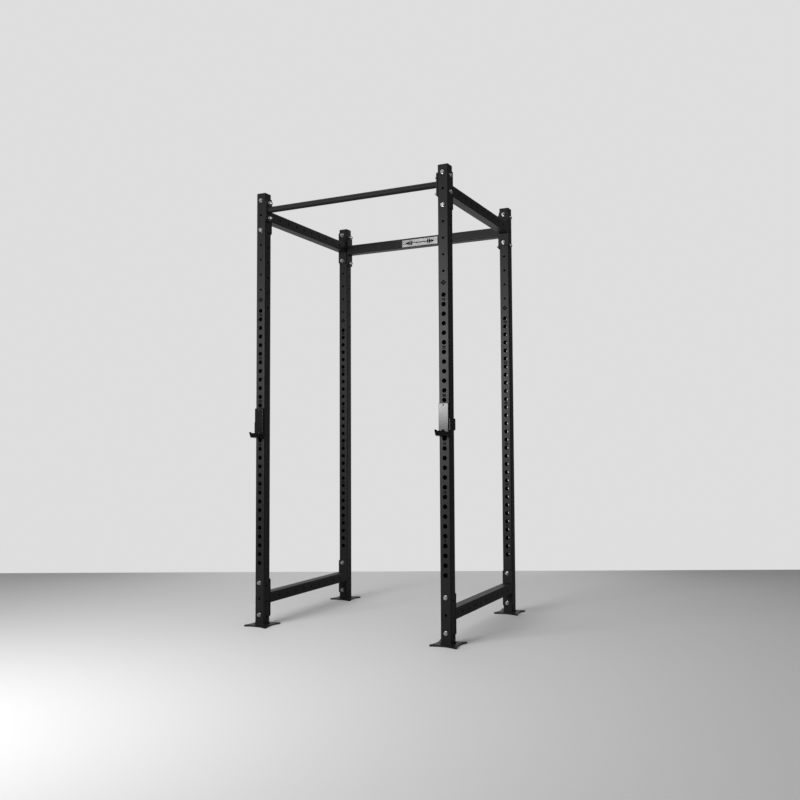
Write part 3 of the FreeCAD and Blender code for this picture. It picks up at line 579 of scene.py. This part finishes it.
def island_boxes(node):
    """Box of each separate solid of a CAD node."""
    shape = bmesh.new()
    shape.from_mesh(NODES[node].data)
    bmesh.ops.remove_doubles(shape, verts=shape.verts, dist=0.02 * MM)
    seen, boxes = set(), []
    for first in shape.verts:
        if first in seen:
            continue
        stack, island = [first], []
        seen.add(first)
        while stack:
            vertex = stack.pop()
            island.append(vertex.co.copy())
            for edge in vertex.link_edges:
                other = edge.other_vert(vertex)
                if other not in seen:
                    seen.add(other)
                    stack.append(other)
        low = Vector([min(p[k] for p in island) for k in range(3)])
        high = Vector([max(p[k] for p in island) for k in range(3)])
        boxes.append((low, high))
    shape.free()
    return boxes


def nut_faces():
    """Inner face of every nut, with the direction in which its bolt stands out."""
    faces = []
    for group, axis in (("side_beam_nuts", 1), ("rear_beam_nuts", 0), ("pull_up_bar_nuts", 0)):
        for low, high in island_boxes(group):
            spot = (low + high) / 2
            inward = -1 if spot[axis] > 0 else 1
            spot[axis] = high[axis] if inward > 0 else low[axis]
            direction = Vector((0, 0, 0))
            direction[axis] = inward
            faces.append((spot, direction))
    return faces


def thread_tree():
    """Copies of a stub on points, each turned along its point's direction."""
    tree, start, end = new_tree("thread_ends", [
        ("Stub", "NodeSocketObject", None), ("Material", "NodeSocketMaterial", None)])
    stub = add(tree, "GeometryNodeObjectInfo", {"Object": start.outputs["Stub"]})
    direction = add(tree, "GeometryNodeInputNamedAttribute", data_type="FLOAT_VECTOR")
    direction.inputs["Name"].default_value = "direction"
    turn = add(tree, "FunctionNodeAlignRotationToVector",
               {"Vector": direction.outputs["Attribute"]}, axis="Z")
    copies = add(tree, "GeometryNodeInstanceOnPoints",
                 {"Points": start.outputs["Geometry"], "Instance": stub.outputs["Geometry"],
                  "Rotation": turn.outputs["Rotation"]})
    close_tree(tree, start, end, copies.outputs["Instances"])
    return tree


def make_threads(threads):
    zinc = finish_named("zinc_hardware")
    faces = nut_faces()
    mesh = bpy.data.meshes.new("thread_points")
    mesh.from_pydata([spot for spot, _ in faces], [], [])
    directions = mesh.attributes.new("direction", "FLOAT_VECTOR", "POINT")
    directions.data.foreach_set("vector", [v for _, way in faces for v in way])
    stub = carry("thread_stub", thread_stub(threads))
    carrier = carry("thread_carrier", mesh)
    use_tree(carrier, thread_tree(), Stub=stub, Material=zinc)
    baked = bake(carrier, "bolt_threads")
    bpy.data.objects.remove(stub)
    new_piece("bolt_threads", baked, zinc)


# ---------------------------------------------------------------- numerals and marks

FIGURE_SHARE = 0.69    # height of a figure as a share of the font's size
DIAMOND_RISE = 64 * MM     # diamond above the highest pin hole
DIAMOND_SQUAT = 0.9    # diamond's height as a share of its width
DIAMOND_SHARE = 0.42   # small lozenge as a share of half the diamond
BAR_LENGTH = 200 * MM
BAR_HEIGHT = 5.5 * MM
DISC_WIDTH = 8 * MM
DISCS = ((58 * MM, 30 * MM), (70 * MM, 30 * MM), (82 * MM, 21 * MM), (92 * MM, 13 * MM))


def facing_front(mesh, place):
    """Stand a flat mesh up, facing the front, with its middle at a place."""
    mesh.transform(Matrix.Translation(place) @ Matrix.Rotation(math.pi / 2, 4, "X"))
    return mesh


def numeral_mesh(text, marks):
    """Bold figures, centred on the origin in the XY plane."""
    curve = bpy.data.curves.new("numeral", "FONT")
    curve.body = text
    curve.align_x = "CENTER"
    curve.align_y = "CENTER"
    curve.size = marks.height / FIGURE_SHARE
    curve.offset = marks.weight * marks.height
    curve.extrude = marks.relief / 2
    carrier = carry("numeral", curve)
    mesh = bake(carrier, "numeral")
    bpy.data.curves.remove(curve)
    xs = [v.co.x for v in mesh.vertices]
    ys = [v.co.y for v in mesh.vertices]
    shift = Vector((-(min(xs) + max(xs)) / 2, -(min(ys) + max(ys)) / 2, 0))
    mesh.transform(Matrix.Translation(shift))
    return mesh


def slab(outline, thickness):
    """Closed flat plate of an outline in the XY plane, centred on it."""
    shape = bmesh.new()
    low = [shape.verts.new((x, y, -thickness / 2)) for x, y in outline]
    high = [shape.verts.new((x, y, thickness / 2)) for x, y in outline]
    shape.faces.new(list(reversed(low)))
    shape.faces.new(high)
    count = len(outline)
    for i in range(count):
        j = (i + 1) % count
        shape.faces.new((low[i], low[j], high[j], high[i]))
    mesh = bpy.data.meshes.new("slab")
    shape.to_mesh(mesh)
    shape.free()
    return mesh


def joined(name, meshes):
    """One mesh from several."""
    shape = bmesh.new()
    for mesh in meshes:
        shape.from_mesh(mesh)
    whole = bpy.data.meshes.new(name)
    shape.to_mesh(whole)
    shape.free()
    for mesh in meshes:
        bpy.data.meshes.remove(mesh)
    return whole


def hole_height(number):
    """Height of a numbered pin hole, read from the joint of the hook."""
    return frame["joints"][0]["pos_m"][2] + (number - HOOK_PIN) * PIN_PITCH


def make_numerals(marks):
    """Numerals halfway below every fifth hole, and a plain diamond above the row."""
    ink = finish_named("marks")
    figures, diamonds = [], []
    for post in POSTS:
        low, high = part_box(f"{post}_upright")
        x = (low.x + high.x) / 2
        y = low.y - marks.relief / 2
        for number in range(marks.step, PIN_COUNT + 1, marks.step):
            place = Vector((x, y, hole_height(number) - PIN_PITCH / 2))
            figures.append(facing_front(numeral_mesh(str(number), marks), place))
        half = marks.diamond / 2
        tall = half * DIAMOND_SQUAT
        a, b = half * DIAMOND_SHARE, tall * DIAMOND_SHARE
        for dx, dz in ((0, tall / 2), (0, -tall / 2), (-half / 2, 0), (half / 2, 0)):
            lozenge = slab([(a, 0), (0, b), (-a, 0), (0, -b)], marks.relief)
            place = Vector((x + dx, y, hole_height(PIN_COUNT) + DIAMOND_RISE + dz))
            diamonds.append(facing_front(lozenge, place))
    new_piece("post_numerals", joined("post_numerals", figures), ink)
    new_piece("post_diamonds", joined("post_diamonds", diamonds), ink)


def rectangle(x, y, width, height):
    """Outline of a rectangle about a middle."""
    return [(x - width / 2, y - height / 2), (x + width / 2, y - height / 2),
            (x + width / 2, y + height / 2), (x - width / 2, y + height / 2)]


def make_plate_face(marks):
    """Plain barbell pictogram on the name plate."""
    ink = finish_named("marks")
    low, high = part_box("name_plate")
    middle = Vector(((low.x + high.x) / 2, low.y - marks.relief / 2, (low.z + high.z) / 2))
    bars = [rectangle(0, 0, BAR_LENGTH, BAR_HEIGHT)]
    for side in SIDES:
        bars.extend(rectangle(side * reach, 0, DISC_WIDTH, tall) for reach, tall in DISCS)
    plates = [facing_front(slab(outline, marks.relief), middle) for outline in bars]
    new_piece("name_plate_print", joined("name_plate_print", plates), ink)


# ---------------------------------------------------------------- stage

KEY_PLACE, KEY_AIM, KEY_SIZE = (-1.1, -3.6, 1.85), (0.1, 0.0, 1.3), (1.8, 1.2)
TOP_PLACE, TOP_AIM, TOP_SIZE = (0.0, -0.3, 5.0), (0.0, -0.3, 0.0), (5.0, 5.0)
WALL_HEIGHT = 8.0
FLOOR_PATCH = 0.6          # size of the faint patches in the floor's gloss
FLOOR_SPECULAR = 0.12
SENSOR_WIDTH = 36.0        # millimetres


def wall_finish(studio):
    """Evenly lit paper: pale to the camera, a fainter light, and clear from behind."""
    material = bpy.data.materials.new("studio_wall")
    material.use_nodes = True
    tree = material.node_tree
    tree.nodes.clear()
    ray = add(tree, "ShaderNodeLightPath")
    place = add(tree, "ShaderNodeTexCoord")
    aside = add(tree, "ShaderNodeVectorMath", {0: place.outputs["Object"]},
                operation="DOT_PRODUCT")
    aside.inputs[1].default_value = (math.cos(studio.camera_heading),
                                     math.sin(studio.camera_heading), 0)
    reach = add(tree, "ShaderNodeMath", {0: aside.outputs["Value"]}, operation="ABSOLUTE")
    fade = add(tree, "ShaderNodeMapRange", {"Value": reach.outputs["Value"]})
    for name, value in (("From Min", studio.fade_start), ("From Max", studio.fade_end),
                        ("To Min", studio.wall_glow), ("To Max", studio.wall_edge)):
        fade.inputs[name].default_value = value
    light = add(tree, "ShaderNodeEmission", {"Strength": fade.outputs["Result"]})
    light.inputs["Color"].default_value = colour(studio.wall_hex)
    seen = add(tree, "ShaderNodeEmission", strength=1.0)
    seen.inputs["Color"].default_value = colour(studio.wall_hex)
    front = add(tree, "ShaderNodeMixShader", {0: ray.outputs["Is Camera Ray"],
                                              1: light.outputs["Emission"],
                                              2: seen.outputs["Emission"]})
    side = add(tree, "ShaderNodeNewGeometry")
    clear = add(tree, "ShaderNodeBsdfTransparent")
    mixed = add(tree, "ShaderNodeMixShader", {0: side.outputs["Backfacing"],
                                              1: front.outputs["Shader"],
                                              2: clear.outputs["BSDF"]})
    add(tree, "ShaderNodeOutputMaterial", {"Surface": mixed.outputs["Shader"]})
    return material


def stage_plane(name, corners, material):
    mesh = bpy.data.meshes.new(name)
    mesh.from_pydata(corners, [], [tuple(range(len(corners)))])
    plane = bpy.data.objects.new(name, mesh)
    bpy.context.scene.collection.objects.link(plane)
    mesh.materials.append(material)
    return plane


def make_room(studio):
    """Flat floor, and a wall square to the camera that can't be seen from behind."""
    floor, tree, shader = new_material("studio_floor")
    place, _ = mottled(tree, shader, studio.floor_hex, studio.floor_hex, FLOOR_PATCH, 0.75, 0.03)
    grained(tree, shader, place, 15 * MM, 0.2 * MM, 0.3)
    shader.inputs["Specular IOR Level"].default_value = FLOOR_SPECULAR
    # Painted reflection: rays from glossy surfaces see the floor in a darker grey, which dims its reflection in
    # the cage
    ray = add(tree, "ShaderNodeLightPath")
    shade = add(tree, "ShaderNodeMix", {"Factor": ray.outputs["Is Glossy Ray"]}, data_type="RGBA")
    shade.inputs[6].default_value = colour(studio.floor_hex)
    shade.inputs[7].default_value = colour(studio.floor_gloss_hex)
    tree.links.new(shade.outputs[2], shader.inputs["Base Color"])
    reach = studio.floor_reach
    ahead = Vector((-math.sin(studio.camera_heading), math.cos(studio.camera_heading), 0))
    aside = Vector((ahead.y, -ahead.x, 0))
    foot = ahead * studio.wall_distance
    up = Vector((0, 0, WALL_HEIGHT))
    stage_plane("studio_floor", [(-reach, -reach, 0), (reach, -reach, 0), (reach, reach, 0),
                                 (-reach, reach, 0)], floor)
    wall = wall_finish(studio)
    stage_plane("studio_wall", [foot - aside * reach, foot + aside * reach,
                                foot + aside * reach + up, foot - aside * reach + up], wall)


def make_world(studio):
    """Even pale surround, dimmer as a light than as a background."""
    world = bpy.data.worlds.new("studio_surround")
    bpy.context.scene.world = world
    world.use_nodes = True
    tree = world.node_tree
    tree.nodes.clear()
    seen = add(tree, "ShaderNodeBackground")
    seen.inputs["Color"].default_value = colour(studio.wall_hex)
    fill = add(tree, "ShaderNodeBackground")
    fill.inputs["Color"].default_value = colour(studio.wall_hex)
    fill.inputs["Strength"].default_value = studio.fill_strength
    ray = add(tree, "ShaderNodeLightPath")
    mixed = add(tree, "ShaderNodeMixShader", {0: ray.outputs["Is Camera Ray"],
                                              1: fill.outputs["Background"],
                                              2: seen.outputs["Background"]})
    add(tree, "ShaderNodeOutputWorld", {"Surface": mixed.outputs["Shader"]})


def softbox(name, place, aim, size, power):
    """Rectangular light that points at a place."""
    lamp = bpy.data.lights.new(name, "AREA")
    lamp.shape = "RECTANGLE"
    lamp.size, lamp.size_y = size
    lamp.energy = power
    holder = bpy.data.objects.new(name, lamp)
    holder.location = place
    holder.rotation_mode = "QUATERNION"
    holder.rotation_quaternion = (Vector(aim) - Vector(place)).to_track_quat("-Z", "Y")
    bpy.context.scene.collection.objects.link(holder)
    return holder


def make_camera(studio):
    """Camera turned by heading, pitch and roll."""
    heading, pitch, roll = studio.camera_heading, studio.camera_pitch, studio.camera_roll
    turn = (Matrix.Rotation(heading, 4, "Z") @ Matrix.Rotation(math.pi / 2 + pitch, 4, "X")
            @ Matrix.Rotation(roll, 4, "Z"))
    data = bpy.data.cameras.new("studio_camera")
    data.lens = studio.camera_lens
    data.sensor_width = SENSOR_WIDTH
    camera = bpy.data.objects.new("studio_camera", data)
    camera.matrix_world = Matrix.Translation(studio.camera_place) @ turn
    bpy.context.scene.collection.objects.link(camera)
    bpy.context.scene.camera = camera


# ---------------------------------------------------------------- operators

class CAGE_OT_finishes(bpy.types.Operator):
    """Give every part of the cage its own finish"""
    bl_idname = "cage.finishes"
    bl_label = "Finishes"

    def execute(self, context):
        finish = context.scene.cage_finish
        finishes = make_finishes(finish)
        for row in frame["record"]["subparts"]:
            paint(NODES[row["node"]], finishes[row["material_slot"]])
        finishes["marks"] = mark_ink("laser_mark", finish.mark_hex)
        context.scene["cage_materials"] = {key: item.name for key, item in finishes.items()}
        return {"FINISHED"}


class CAGE_OT_welds(bpy.types.Operator):
    """Lay the weld beads of beams, feet and pull-up bar"""
    bl_idname = "cage.welds"
    bl_label = "Weld beads"

    def execute(self, context):
        make_welds(context.scene.cage_welds)
        return {"FINISHED"}


class CAGE_OT_threads(bpy.types.Operator):
    """Cut threads on the bolt ends that stand out of their nuts"""
    bl_idname = "cage.threads"
    bl_label = "Bolt threads"

    def execute(self, context):
        make_threads(context.scene.cage_threads)
        return {"FINISHED"}


class CAGE_OT_numerals(bpy.types.Operator):
    """Mark the uprights with numerals and a plain diamond"""
    bl_idname = "cage.numerals"
    bl_label = "Numerals"

    def execute(self, context):
        make_numerals(context.scene.cage_marks)
        return {"FINISHED"}


class CAGE_OT_plate_face(bpy.types.Operator):
    """Print the pictogram on the name plate"""
    bl_idname = "cage.plate_face"
    bl_label = "Name plate face"

    def execute(self, context):
        make_plate_face(context.scene.cage_marks)
        return {"FINISHED"}


class CAGE_OT_stage(bpy.types.Operator):
    """Set up the floor, wall, lights and camera"""
    bl_idname = "cage.stage"
    bl_label = "Stage"

    def execute(self, context):
        studio = context.scene.cage_studio
        context.scene.view_settings.view_transform = "Standard"
        make_room(studio)
        make_world(studio)
        softbox("key_light", KEY_PLACE, KEY_AIM, KEY_SIZE, studio.key_power)
        softbox("top_light", TOP_PLACE, TOP_AIM, TOP_SIZE, studio.top_power)
        make_camera(studio)
        return {"FINISHED"}


class CAGE_PT_panel(bpy.types.Panel):
    """Steps that finish the cage"""
    bl_idname = "CAGE_PT_panel"
    bl_label = "Power cage"
    bl_space_type = "VIEW_3D"
    bl_region_type = "UI"
    bl_category = "Cage"

    def draw(self, context):
        for operator in OPERATORS:
            self.layout.operator(operator.bl_idname)
        for group in GROUPS:
            settings = getattr(context.scene, group)
            box = self.layout.box()
            for name in settings.bl_rna.properties.keys():
                if name not in {"rna_type", "name"}:
                    box.prop(settings, name)


OPERATORS = (
    CAGE_OT_finishes, CAGE_OT_welds, CAGE_OT_threads, CAGE_OT_numerals, CAGE_OT_plate_face,
    CAGE_OT_stage,
)
CLASSES = (*GROUPS.values(), *OPERATORS, CAGE_PT_panel)


def register():
    for item in CLASSES:
        bpy.utils.register_class(item)
    for name, group in GROUPS.items():
        setattr(bpy.types.Scene, name, PointerProperty(type=group))


def unregister():
    for name in GROUPS:
        delattr(bpy.types.Scene, name)
    for item in reversed(CLASSES):
        bpy.utils.unregister_class(item)


def main():
    register()
    bpy.ops.cage.finishes()
    bpy.ops.cage.welds()
    bpy.ops.cage.threads()
    bpy.ops.cage.numerals()
    bpy.ops.cage.plate_face()
    bpy.ops.cage.stage()


if __name__ == "__main__":
    main()
